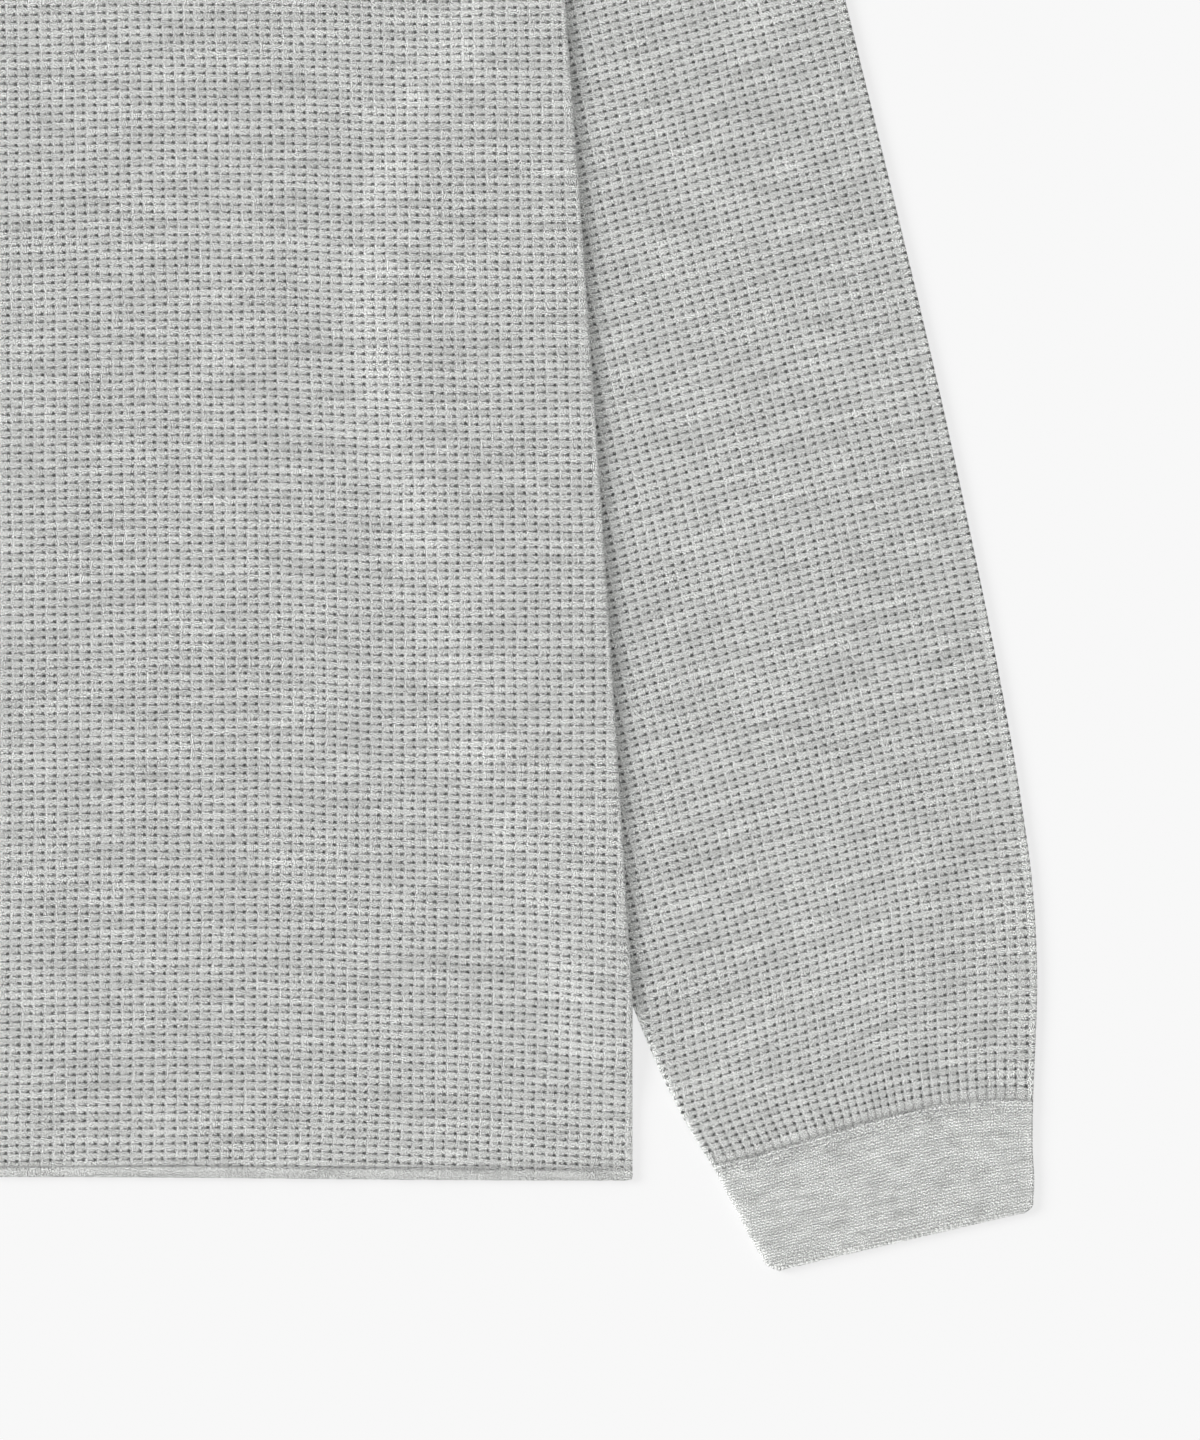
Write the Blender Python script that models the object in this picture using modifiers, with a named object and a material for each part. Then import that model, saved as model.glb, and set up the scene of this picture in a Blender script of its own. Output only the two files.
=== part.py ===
"""A long-sleeved thermal top in waffle knit, laid flat on a table, front up, with its sleeves brought
down beside the body and their inner edges tucked under it.

It is cut and sewn from seven pieces: front, back, two sleeves, two cuffs and a neckband. Each is an open
surface through sections, given its wall by Solidify. Layers that lie on each other and pieces that meet
at a seam are GAP apart.

Lengths are in millimetres, and become metres when a mesh is made. X runs across the garment, to the
wearer's left, Y from hem to neck and Z up. Heights are measured from the hem line, and MIDDLE moves the
garment so that the origin is on the table under the middle of its outline.
"""

import bpy
import numpy as np

MM = 0.001
MIDDLE = 332.65

# Cloth, and the levels of two layers that lie on the table
WALL = 1.4
GAP = 0.3
LOW = WALL / 2
HIGH = LOW + WALL + GAP
FOLD = (HIGH - LOW) / 2
EDGE = FOLD + WALL / 2
LIFT = HIGH + WALL / 2 + GAP
FOLD_STEPS = 4

# Body
HEM_HALF = 260.0
HEM_CORNER = 4.5
TAPER_FROM = 60.0
UNDERARM = 440.0
UNDERARM_HALF = 234.0
TIP_HALF = 235.0
TIP_HEIGHT = 635.0
ARMHOLE_SCOOP = 16.0
ARMHOLE_STEPS = 6
ARMHOLE_GAP = 0.5
SIDE_TUCK = 3.0
END_TUCK = 0.3

# Sections of the body up its side: height, share of the lift onto the sleeve.
BODY_SECTIONS = (
    (0.0, 0.0),
    (HEM_CORNER, 0.0),
    (20.0, 0.0),
    (52.0, 1.0),
    (110.0, 1.0),
    (170.0, 1.0),
    (230.0, 1.0),
    (290.0, 1.0),
    (350.0, 1.0),
    (412.0, 1.0),
    (426.0, 0.5),
    (UNDERARM, 0.0),
)
# The body comes down from the sleeve on its inner side: from and to, measured from the sleeve's edge.
STEP_FROM = 8.0
STEP_TO = 30.0

# Neck
NECK_HALF = 92.0
NECK_HEIGHT = 680.0
FRONT_DROP = 85.0
BACK_DROP = 20.0
NECK_STEPS = 5
BAND_WIDTH = 20.0
BAND_LEAN = np.radians(30.0)
BAND_ROWS = 3

# Sleeve, in sections across it from the armhole to the cuff seam: where its inner and outer folds are,
# and how far the section bows towards the shoulder, near its inner end and near its outer end.
SLEEVE_SECTIONS = (
    # inner x, height, outer x, height, inner bow, outer bow
    (234.6, 440.3, 235.8, 635.0, ARMHOLE_SCOOP, 0.0),
    (236.3, 436.0, 258.0, 626.0, 12.5, 0.0),
    (237.6, 431.0, 276.5, 607.0, 9.5, 0.0),
    (238.3, 425.0, 289.5, 578.0, 6.5, 0.0),
    (238.6, 418.5, 300.5, 535.0, 4.0, 0.0),
    (238.2, 412.0, 313.0, 485.0, 2.0, 0.0),
    (226.0, 397.0, 325.0, 434.0, 0.0, 0.0),
    (207.0, 368.0, 333.0, 400.8, 0.0, 0.0),
    (193.5, 335.0, 339.8, 372.8, 0.0, 0.0),
    (189.5, 300.0, 347.6, 341.0, 0.0, 0.0),
    (193.0, 262.0, 356.5, 304.2, 0.0, 0.0),
    (204.0, 222.0, 365.9, 263.8, 0.0, 0.0),
    (218.5, 176.0, 376.1, 216.7, 0.0, 0.0),
    (233.5, 131.0, 385.5, 170.2, 0.0, 1.0),
    (247.0, 92.0, 392.6, 129.6, 0.0, 2.0),
    (259.4, 60.5, 397.0, 96.0, 0.0, 3.0),
    (271.0, 34.0, 398.3, 64.0, 0.0, 4.0),
    (280.5, 16.5, 397.6, 43.0, 0.0, 4.5),
    (288.0, 4.4, 396.9, 26.5, 0.0, 4.8),
)
CUFF_SECTIONS = (
    # inner x, height, outer x, height, inner bow, outer bow
    (288.15, 4.1, 396.9, 26.2, 0.0, 4.8),
    (296.2, -12.5, 396.8, 10.0, 0.0, 2.4),
    (304.3, -27.5, 397.0, -6.0, 0.0, 0.6),
    (306.2, -30.2, 395.4, -9.8, 0.0, 0.2),
    (309.9, -31.8, 392.0, -12.3, 0.0, 0.0),
)

# Finishes: colour, roughness
WAFFLE = ((0.49, 0.495, 0.485), 0.9)
JERSEY = ((0.54, 0.55, 0.535), 0.88)


def start_collection(name):
    """Empties the scene and returns a new collection in it."""
    for obj in list(bpy.data.objects):
        bpy.data.objects.remove(obj)
    collection = bpy.data.collections.new(name)
    bpy.context.scene.collection.children.link(collection)
    return collection


def add_cloth(collection, name, points, faces, finish, mirrored=False):
    """An open surface of cloth at the middle of its wall, mirrored across the garment if asked."""
    placed = (np.asarray(points) - (0.0, MIDDLE, 0.0)) * MM
    mesh = bpy.data.meshes.new(name)
    mesh.from_pydata(placed.tolist(), [], faces)
    mesh.validate()
    obj = bpy.data.objects.new(name, mesh)
    collection.objects.link(obj)
    if mirrored:
        mirror = obj.modifiers.new("other half", "MIRROR")
        mirror.merge_threshold = 0.0001
    wall = obj.modifiers.new("wall", "SOLIDIFY")
    wall.thickness = WALL * MM
    wall.offset = 0.0
    material = bpy.data.materials.new(name)
    material.use_nodes = True
    shader = material.node_tree.nodes["Principled BSDF"]
    colour, roughness = finish
    shader.inputs["Base Color"].default_value = (*colour, 1.0)
    shader.inputs["Roughness"].default_value = roughness
    shader.inputs["Metallic"].default_value = 0.0
    mesh.materials.append(material)
    return obj


def grid_faces(kept, closed=False, turned=False):
    """Quads between the points of a grid, for the cells kept. A closed grid joins its last column to its
    first, and a turned one faces the other way."""
    rows, columns = kept.shape
    width = columns if closed else columns + 1
    faces = []
    for i, j in np.argwhere(kept).tolist():
        after = (j + 1) % width
        quad = (i * width + j, i * width + after, (i + 1) * width + after, (i + 1) * width + j)
        faces.append(quad[::-1] if turned else quad)
    return faces


def used_only(points, faces):
    """The points that the faces use, and the faces renumbered to them."""
    used, index = np.unique(np.array(faces), return_inverse=True)
    return points[used], index.reshape(-1, 4).tolist()


def half_turn():
    """How far each step of a fold goes out and up, from its upper layer round to its lower one."""
    angle = np.pi * np.arange(1, FOLD_STEPS + 1) / FOLD_STEPS
    return list(zip(FOLD * np.sin(angle), FOLD * (np.cos(angle) - 1.0)))


def bow(share, near_start, near_end):
    """Two cubic humps of these heights, the first highest a third of the way along, the other at two."""
    return 6.75 * share * (1.0 - share) * (near_start * (1.0 - share) + near_end * share)


def section_runs(section):
    """The line of a flattened tube's section between the centres of its folds, its direction, and the
    points along it."""
    inner_x, inner_y, outer_x, outer_y, inner_bow, outer_bow = section
    inner = np.array((inner_x, inner_y))
    outer = np.array((outer_x, outer_y))
    along = (outer - inner) / np.linalg.norm(outer - inner)
    across = np.array((-along[1], along[0]))
    start, end = inner + EDGE * along, outer - EDGE * along
    share = np.linspace(0.0, 1.0, ARMHOLE_STEPS + 1)[:, None]
    line = start + share * (end - start) + bow(share, inner_bow, outer_bow) * across
    return along, line


def tube_ring(section):
    """A ring of a flattened tube: the upper layer outwards, the outer fold, the lower layer back, and
    the inner fold."""
    along, line = section_runs(section)
    ring = [(*point, HIGH) for point in line]
    for out, down in half_turn()[:-1]:
        ring.append((*(line[-1] + out * along), HIGH + down))
    ring += [(*point, LOW) for point in line[::-1]]
    for out, down in half_turn()[:-1]:
        ring.append((*(line[0] - out * along), LOW - down))
    return ring


def add_tube(collection, name, sections, finish, side):
    """A sleeve or cuff on the wearer's left (side 1) or right (side -1)."""
    rings = np.array([tube_ring(section) for section in sections])
    rings[:, :, 0] *= side
    kept = np.ones((len(sections) - 1, rings.shape[1]), bool)
    faces = grid_faces(kept, closed=True, turned=side > 0)
    return add_cloth(collection, name, rings.reshape(-1, 3), faces, finish)


def side_half(height):
    """Half of the body's width below the underarm: straight up, then a straight taper, with the hem's
    corner rounded off."""
    taper = (HEM_HALF - UNDERARM_HALF) / (UNDERARM - TAPER_FROM)
    corner = np.maximum(HEM_CORNER - height, 0.0) / HEM_CORNER
    return HEM_HALF - taper * np.maximum(height - TAPER_FROM, 0.0) - (HEM_CORNER - 0.5) * corner**2


def sleeve_reach(height):
    """How far from the garment's middle the sleeve's inner fold lies at a height, or the body's side
    where the sleeve is clear of it."""
    inner = np.array([section[:2] for section in SLEEVE_SECTIONS])[::-1]
    return np.minimum(np.interp(height, inner[:, 1], inner[:, 0]), side_half(height))


def shoulder_frame():
    """The shoulder's slope, and the direction square to it."""
    run = np.array((TIP_HALF - NECK_HALF, TIP_HEIGHT - NECK_HEIGHT))
    out = np.array((-run[1], run[0])) / np.linalg.norm(run)
    return run[1] / run[0], out


def panel_lattice(neck_drop, inset, level):
    """The flat points of half a body panel, row by row from hem to shoulder and column by column from
    the middle to the side. inset is how far inside the outline the panel's side and shoulder stop, at
    their ends and elsewhere. level is the height of the panel's middle above what it lies on."""
    slope, out = shoulder_frame()
    end_inset, mid_inset = inset
    armhole = section_runs(SLEEVE_SECTIONS[0])[1] - (ARMHOLE_GAP, 0.0)
    heights, share = np.array(BODY_SECTIONS).T
    outline = np.concatenate([side_half(heights), armhole[:, 0]])
    insets = np.where(heights < UNDERARM, mid_inset, end_inset)
    edges = outline - np.concatenate([insets, np.zeros(len(armhole))])
    reach = np.concatenate([sleeve_reach(heights), armhole[:, 0]])
    rows = np.concatenate([heights, armhole[:, 1]])
    lift = LIFT * np.concatenate([share, np.zeros(len(armhole))])

    # Columns from the middle: the neck's own, two over the yoke, three down the step off the sleeve, and
    # three more out to the edge. Only the last ones are raised.
    angle = np.radians(90.0) * np.arange(NECK_STEPS + 1) / NECK_STEPS
    neck = np.outer(outline / outline[-1], NECK_HALF * np.sin(angle))
    step = reach[:, None] - (STEP_TO, (STEP_TO + STEP_FROM) / 2, STEP_FROM)
    thirds = np.array((1.0, 2.0)) / 3.0
    yoke = neck[:, -1:] + thirds * (step[:, :1] - neck[:, -1:])
    over_sleeve = step[:, -1:] + thirds * (edges[:, None] - step[:, -1:])
    x = np.concatenate([neck, yoke, step, over_sleeve, edges[:, None]], axis=1)
    rises = np.concatenate([np.zeros(neck.shape[1] + 3), (0.5,), np.ones(4)])

    # Rows follow the side at its edge and the neckline and shoulder at the top.
    top = NECK_HEIGHT + slope * (x[-1] - NECK_HALF) - EDGE / out[1]
    top[:NECK_STEPS] = NECK_HEIGHT - neck_drop * np.cos(angle[:NECK_STEPS])
    top[-1] = rows[-1]
    y = np.outer(rows, top / rows[-1])
    shoulder = np.full(len(top), mid_inset - EDGE)
    shoulder[[NECK_STEPS, -1]] = end_inset - EDGE
    shoulder[:NECK_STEPS] = 0.0
    near_top = np.maximum(rows - UNDERARM, 0.0) / (rows[-1] - UNDERARM)
    y -= np.outer(near_top, shoulder / out[1])
    return np.stack([x, y, level + np.outer(lift, rises)], axis=2)


def add_back(collection):
    """The back lies on the table, and its side and shoulder edges meet the front's turned edges."""
    inset = (EDGE + END_TUCK + 2.0 * GAP, EDGE + SIDE_TUCK + GAP)
    lattice = panel_lattice(BACK_DROP, inset, LOW)
    kept = np.ones((lattice.shape[0] - 1, lattice.shape[1] - 1), bool)
    faces = grid_faces(kept)
    add_cloth(collection, "back", lattice.reshape(-1, 3), faces, WAFFLE, mirrored=True)


def add_front(collection):
    """The front lies on the back. Its side and shoulder edges turn down round the back's level and a
    short way under, where the seams are."""
    flat = panel_lattice(FRONT_DROP, (EDGE, EDGE), HIGH)
    rows, columns = flat.shape[:2]
    out = shoulder_frame()[1]

    turned_columns = []
    for step, down in half_turn():
        turned_columns.append(flat[:, -1] + (step, 0.0, down))
    side_tuck = np.full(rows, SIDE_TUCK)
    side_tuck[len(BODY_SECTIONS) - 1 :] = END_TUCK
    tuck = turned_columns[-1].copy()
    tuck[:, 0] -= side_tuck
    turned_columns.append(tuck)
    wide = np.concatenate([flat, np.stack(turned_columns, axis=1)], axis=1)

    turned_rows = []
    for step, down in half_turn():
        turned_rows.append(wide[-1] + (*(step * out), down))
    shoulder_tuck = np.full(wide.shape[1], SIDE_TUCK)
    shoulder_tuck[[NECK_STEPS, columns - 1]] = END_TUCK
    tuck = turned_rows[-1].copy()
    tuck[:, :2] -= shoulder_tuck[:, None] * out
    turned_rows.append(tuck)
    lattice = np.concatenate([wide, np.stack(turned_rows)], axis=0)

    kept = np.zeros((lattice.shape[0] - 1, lattice.shape[1] - 1), bool)
    kept[: rows - 1, : columns - 1] = True
    kept[: len(BODY_SECTIONS) - 1, columns - 1 :] = True
    kept[rows - 1 :, NECK_STEPS : columns - 1] = True
    points, faces = used_only(lattice.reshape(-1, 3), grid_faces(kept))
    add_cloth(collection, "front", points, faces, WAFFLE, mirrored=True)


def seam_line(points):
    """A line of points moved GAP to its left, so that what is sewn along it stays clear."""
    ahead = np.diff(points, axis=0)
    ahead /= np.linalg.norm(ahead, axis=1)[:, None]
    turn = np.concatenate([ahead[:1], ahead[:-1] + ahead[1:], ahead[-1:]])
    turn /= np.linalg.norm(turn, axis=1)[:, None]
    return points + GAP * np.stack([-turn[:, 1], turn[:, 0]], axis=1)


def add_neckband(collection):
    """A ring of folded jersey that stands BAND_WIDTH above the neckline: its front half on the upper
    level and its back half on the lower one, folded at the sides."""
    lean = np.array((-np.sin(BAND_LEAN), np.cos(BAND_LEAN)))
    outward = np.array((lean[1], -lean[0]))
    side = np.array((NECK_HALF, NECK_HEIGHT)) - EDGE * outward + GAP * lean
    top = side + BAND_WIDTH * lean
    angle = np.radians(90.0) * np.arange(-NECK_STEPS, NECK_STEPS + 1) / NECK_STEPS

    def half_band(drop):
        """Lines along the band from one side fold to the other, from its seam up to its top edge."""
        neckline = np.stack([NECK_HALF * np.sin(angle), NECK_HEIGHT - drop * np.cos(angle)], axis=1)
        seam = seam_line(neckline)
        seam[0], seam[-1] = side * (-1.0, 1.0), side
        rise = top[1] - (NECK_HEIGHT - drop + BAND_WIDTH)
        edge = np.stack([top[0] * np.sin(angle), top[1] - rise * np.cos(angle)], axis=1)
        share = np.linspace(0.0, 1.0, BAND_ROWS)[:, None, None]
        return seam + share * (edge - seam)

    rings = []
    for front, back in zip(half_band(FRONT_DROP), half_band(BACK_DROP)):
        ring = [(*point, HIGH) for point in front]
        for step, down in half_turn()[:-1]:
            ring.append((*(front[-1] + step * outward), HIGH + down))
        ring += [(*point, LOW) for point in back[::-1]]
        for step, down in half_turn()[:-1]:
            ring.append((*(back[0] + step * outward * (-1.0, 1.0)), LOW - down))
        rings.append(ring)
    rings = np.array(rings)
    kept = np.ones((len(rings) - 1, rings.shape[1]), bool)
    faces = grid_faces(kept, closed=True)
    add_cloth(collection, "neckband", rings.reshape(-1, 3), faces, JERSEY)


def main():
    collection = start_collection("thermal_top")
    add_back(collection)
    add_front(collection)
    for side, name in ((1, "left"), (-1, "right")):
        add_tube(collection, "sleeve_" + name, SLEEVE_SECTIONS, WAFFLE, side)
        add_tube(collection, "cuff_" + name, CUFF_SECTIONS, JERSEY, side)
    add_neckband(collection)


main()
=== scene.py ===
"""The looks of the thermal top: waffle-knit panels and sleeves, jersey cuffs and neckband, laid flat on a
pale table with the sleeves brought down beside the body and tucked under it.

Shapes are worked out in millimetres, with heights measured from the hem line, and become metres in the
frame when a mesh is made. Each cloth is a grid of points at the middle of its wall, with a map of its
knit in metres: across the wales first, then along them.
"""

import bpy
import numpy as np
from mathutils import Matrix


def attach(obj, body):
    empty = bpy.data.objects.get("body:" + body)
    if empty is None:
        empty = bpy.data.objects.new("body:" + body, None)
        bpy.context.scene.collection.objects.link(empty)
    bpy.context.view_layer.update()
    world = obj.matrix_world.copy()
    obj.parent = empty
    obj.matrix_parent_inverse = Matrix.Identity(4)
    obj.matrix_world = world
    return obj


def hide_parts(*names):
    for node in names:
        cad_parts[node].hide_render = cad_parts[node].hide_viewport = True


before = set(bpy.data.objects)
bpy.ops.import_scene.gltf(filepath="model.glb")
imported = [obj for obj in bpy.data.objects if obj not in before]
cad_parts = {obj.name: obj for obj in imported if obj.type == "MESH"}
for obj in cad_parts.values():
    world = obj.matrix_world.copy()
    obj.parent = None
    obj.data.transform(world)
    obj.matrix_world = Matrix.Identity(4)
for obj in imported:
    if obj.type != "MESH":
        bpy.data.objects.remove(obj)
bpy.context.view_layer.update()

MM = 0.001
MIDDLE = 332.65

# Cloth, and the levels of two layers that lie on the table
WALL = 1.3
GAP = 0.3
LOW = 0.7
HIGH = 2.4
FOLD = (HIGH - LOW) / 2
FOLD_OUT = 0.5
EDGE = FOLD_OUT + WALL / 2
LIFT = 3.4
FOLD_STEPS = 8

# Body
HEM_HALF = 260.0
HEM_CORNER = 2.5
HEM_LINE = 3.7
SIDE_EASE = 0.3
SIDE_SWELL = 0.9
TAPER_FROM = 60.0
UNDERARM = 440.0
UNDERARM_HALF = 234.0
TIP_HALF = 235.0
TIP_HEIGHT = 635.0
ARMHOLE_GAP = 0.45
SIDE_TUCK = 3.0
END_TUCK = 0.3
STEP_FROM = 8.0
STEP_TO = 30.0

# Neck
NECK_HALF = 92.0
NECK_HEIGHT = 680.0
FRONT_DROP = 85.0
BACK_DROP = 20.0
BAND_WIDTH = 20.0
BAND_LEAN = np.radians(30.0)

# Sleeve and cuff, in sections across them from the armhole down: where the inner and outer folds are, how
# far the section bows towards the shoulder near each end, and how much more knit there is than width.
SLEEVE_SECTIONS = np.array((
    # inner x, height, outer x, height, inner bow, outer bow, gather all across, gather at the middle
    (234.6, 440.3, 235.8, 635.0, 16.0, 0.0, 0.0, 0.0),
    (236.3, 436.0, 258.0, 626.0, 12.5, 0.0, 0.0, 0.0),
    (237.6, 431.0, 276.5, 607.0, 9.5, 0.0, 0.0, 0.0),
    (238.3, 425.0, 289.5, 578.0, 6.5, 0.0, 0.0, 0.0),
    (238.6, 418.5, 300.5, 535.0, 4.0, 0.0, 0.0, 0.0),
    (238.2, 412.0, 313.0, 485.0, 2.0, 0.0, 0.0, 0.0),
    (226.0, 397.0, 325.0, 434.0, 0.0, 0.0, 0.0, 0.0),
    (207.0, 368.0, 333.0, 400.8, 0.0, 0.0, 0.0, 0.0),
    (193.5, 335.0, 339.8, 372.8, 0.0, 0.0, 0.0, 0.0),
    (189.5, 300.0, 347.6, 341.0, 0.0, 0.0, 0.0, 0.0),
    (193.0, 262.0, 356.5, 304.2, 0.0, 0.0, 0.0, 0.0),
    (204.0, 222.0, 365.9, 263.8, 0.0, 0.0, 0.0, 0.0),
    (218.5, 176.0, 376.1, 216.7, 0.0, 0.0, 0.0, 0.0),
    (233.5, 131.0, 385.5, 170.2, 0.0, 1.0, 0.015, 0.03),
    (247.0, 92.0, 392.6, 129.6, 0.0, 2.0, 0.035, 0.07),
    (259.4, 60.5, 397.0, 96.0, 0.0, 3.0, 0.06, 0.13),
    (270.5, 34.0, 398.3, 64.0, 0.0, 4.0, 0.085, 0.22),
    (279.6, 16.3, 397.6, 43.0, 0.0, 4.5, 0.13, 0.3),
    (287.0, 4.2, 396.9, 26.5, 0.0, 4.8, 0.22, 0.34),
))
CUFF_SECTIONS = np.array((
    # inner x, height, outer x, height, inner bow, outer bow
    (287.3, 4.0, 396.9, 26.3, 0.0, 4.8),
    (296.0, -12.5, 396.8, 10.0, 0.0, 2.4),
    (304.3, -27.5, 397.0, -6.8, 0.0, 0.6),
    (306.2, -30.2, 396.4, -10.2, 0.0, 0.2),
    (309.9, -31.8, 394.0, -11.9, 0.0, 0.0),
))
ROW_TILT = np.radians(16.4)
WALE_TILT = np.radians(13.8)
ROW_BOW = 0.00013

# Knits: the waffle's cell, and the jersey's stitch
CELL_WIDE = 3.82 * MM
CELL_HIGH = 2.62 * MM
STITCH_WIDE = 0.85 * MM
STITCH_HIGH = 1.0 * MM

# Camera: what it looks at, and the length of the view
VIEW_CENTRE = (249.2, 155.7)
VIEW_LENGTH = 489.6
LENS = 85.0
SENSOR = 36.0


# ---------------------------------------------------------------- curves


def smooth(value):
    """The smooth step 3t^2 - 2t^3 of a value held between 0 and 1."""
    t = np.clip(value, 0.0, 1.0)
    return t * t * (3.0 - 2.0 * t)


def smooth_through(knots, values, at):
    """A cubic between each two knots, with the slopes of the parabolas through the knots around them."""
    slopes = np.gradient(values, knots, axis=0)
    i = np.clip(np.searchsorted(knots, at, side="right") - 1, 0, len(knots) - 2)
    span = (knots[i + 1] - knots[i])[:, None]
    t = (at - knots[i])[:, None] / span
    start = (1.0 + 2.0 * t) * (1.0 - t) ** 2 * values[i] + t * (1.0 - t) ** 2 * span * slopes[i]
    end = t * t * (3.0 - 2.0 * t) * values[i + 1] - t * t * (1.0 - t) * span * slopes[i + 1]
    return start + end


def runs(*stretches):
    """Stations along a length: each stretch is (from, to, spacing), and one ends where the next starts."""
    parts = [stretches[0][:1]]
    for start, end, spacing in stretches:
        count = max(1, round(abs(end - start) / spacing))
        parts.append(np.linspace(start, end, count + 1)[1:])
    return np.concatenate(parts)


def bow(share, near_start, near_end):
    """Two cubic humps of these heights, the first highest a third of the way along, the other at two."""
    return 6.75 * share * (1.0 - share) * (near_start * (1.0 - share) + near_end * share)


def half_turn():
    """How far each step of a fold goes out and up, from its upper layer round to its lower one. Pressed
    folds are tighter than they are high."""
    angle = np.pi * np.arange(1, FOLD_STEPS + 1) / FOLD_STEPS
    return FOLD_OUT * np.sin(angle), FOLD * (np.cos(angle) - 1.0)


def creases(x, y, table):
    """The sum of soft ridges and troughs. Each is a bell across the line from one end to the other, with
    its height there, and fades along the line towards both ends."""
    total = np.zeros(np.broadcast(x, y).shape)
    for x0, y0, x1, y1, wide, height in table:
        length = np.hypot(x1 - x0, y1 - y0)
        along = ((x - x0) * (x1 - x0) + (y - y0) * (y1 - y0)) / length**2
        across = ((x - x0) * (y1 - y0) - (y - y0) * (x1 - x0)) / length
        across = across + 0.06 * length * np.sin(np.pi * np.clip(along, 0.0, 1.0))
        fade = smooth(1.2 - np.abs(2.0 * along - 1.0))
        total += height * np.exp(-((across / wide) ** 2)) * fade
    return total


# ---------------------------------------------------------------- cloth meshes


def add_cloth(name, points, knit, finish, marks, kept=None, closed=False, turned=False):
    """Quads between the grid's points, for the cells kept, each corner with its place on the knit. marks
    say where the knit is plain, where painted shade darkens a seam's groove, where the knit is gathered
    (painted shade between its closed-up wales), and where a pressed edge gets a painted highlight."""
    rows, columns = points.shape[:2]
    if kept is None:
        kept = np.ones((rows - 1, columns if closed else columns - 1), bool)
    i, j = np.nonzero(kept)
    after = (j + 1) % columns
    row, next_row = i * columns, (i + 1) * columns
    corners = np.stack([row + j, row + after, next_row + after, next_row + j], axis=1)
    row, next_row = i * knit.shape[1], (i + 1) * knit.shape[1]
    places = np.stack([row + j, row + j + 1, next_row + j + 1, next_row + j], axis=1)
    if turned:
        corners, places = corners[:, ::-1], places[:, ::-1]
    used, index = np.unique(corners, return_inverse=True)
    placed = (points.reshape(-1, 3)[used] - (0.0, MIDDLE, 0.0)) * MM
    mesh = bpy.data.meshes.new(name)
    mesh.from_pydata(placed.tolist(), [], index.reshape(-1, 4).tolist())
    mesh.uv_layers.new(name="knit").data.foreach_set("uv", (knit.reshape(-1, 2)[places] * MM).ravel())
    for word in ("plain", "seam", "gathered", "rim"):
        values = marks.get(word, np.zeros((rows, columns)))
        spread = np.ascontiguousarray(np.broadcast_to(values, (rows, columns)), np.float32)
        mesh.attributes.new(word, "FLOAT", "POINT").data.foreach_set("value", spread.ravel()[used])
    mesh.shade_smooth()
    mesh.materials.append(finish)
    obj = bpy.data.objects.new(name, mesh)
    bpy.context.scene.collection.objects.link(obj)
    wall = obj.modifiers.new("wall", "SOLIDIFY")
    wall.thickness = WALL * MM
    wall.offset = 0.0
    rim = obj.modifiers.new("soft rim", "BEVEL")
    rim.width = 0.3 * MM
    rim.segments = 3
    rim.limit_method = "ANGLE"
    rim.angle_limit = np.radians(55.0)
    return obj


def settle(obj, node):
    """The piece rides on the part and stands for its node."""
    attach(obj, "root")
    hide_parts(node)
    return obj


# ---------------------------------------------------------------- sleeves and cuffs


def section_line(sections, share):
    """Points along each section between its folds' centres, for rows of sections and columns of shares,
    and the section's direction."""
    inner, outer = sections[:, None, 0:2], sections[:, None, 2:4]
    along = (outer - inner) / np.linalg.norm(outer - inner, axis=2, keepdims=True)
    across = np.stack([-along[..., 1], along[..., 0]], axis=2)
    start, end = inner + EDGE * along, outer - EDGE * along
    s = share[None, :, None]
    hump = bow(share[None, :], sections[:, 4:5], sections[:, 5:6])[..., None]
    return start + s * (end - start) + hump * across, along


def down_the_middle(sections):
    """The distance of each section from the first, down the middle of the sleeve or cuff."""
    middle = (sections[:, 0:2] + sections[:, 2:4]) / 2.0
    steps = np.linalg.norm(np.diff(middle, axis=0), axis=1)
    return np.concatenate([[0.0], np.cumsum(steps)])


def stations(sections, at):
    """Sections read from a smooth curve through the given ones, at distances down the middle that are
    worked out from its length, and that length."""
    down = down_the_middle(sections)
    return smooth_through(down, sections, at(down[-1])), down[-1]


def tube_rings(line, along, rise):
    """Rings of a flattened tube: the inner fold up, the upper layer out, the outer fold down and the lower
    layer back. rise lifts the upper layer."""
    out, down = half_turn()
    out, down = out[:-1], down[:-1]
    rows = len(line)

    def fold(edge, way, up, order):
        ring = edge[:, None, :] + way * along * out[None, :, None]
        height = np.broadcast_to(HIGH + down, (rows, len(down))) + up[:, None] * (1.0 + down / (2.0 * FOLD))
        both = np.concatenate([ring, height[..., None]], axis=2)
        return both[:, ::order]

    upper = np.concatenate([line, (HIGH + rise)[..., None]], axis=2)
    lower = np.concatenate([line, np.full(line.shape[:2] + (1,), LOW)], axis=2)[:, ::-1]
    inner = fold(line[:, 0], -1.0, rise[:, 0], -1)
    outer = fold(line[:, -1], 1.0, rise[:, -1], 1)
    return np.concatenate([inner, upper, outer, lower], axis=1)


def round_the_ring(upper_wide, side):
    """The knit's width all round the ring, from its width over the upper layer measured from the outer
    fold: on round each fold by its arc, and back under the lower layer. Its face is never mirrored."""
    steps = FOLD_STEPS
    arc = np.pi * FOLD * np.arange(1, steps)[None, :] / steps
    whole = np.pi * FOLD
    edge = upper_wide[:, -1:]
    inner = upper_wide[:, :1] + whole - arc
    lower = 2.0 * edge - whole - upper_wide[:, ::-1]
    ring = np.concatenate([inner, upper_wide, edge - arc, lower, lower[:, -1:] - whole / steps], axis=1)
    return -side * ring


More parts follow.
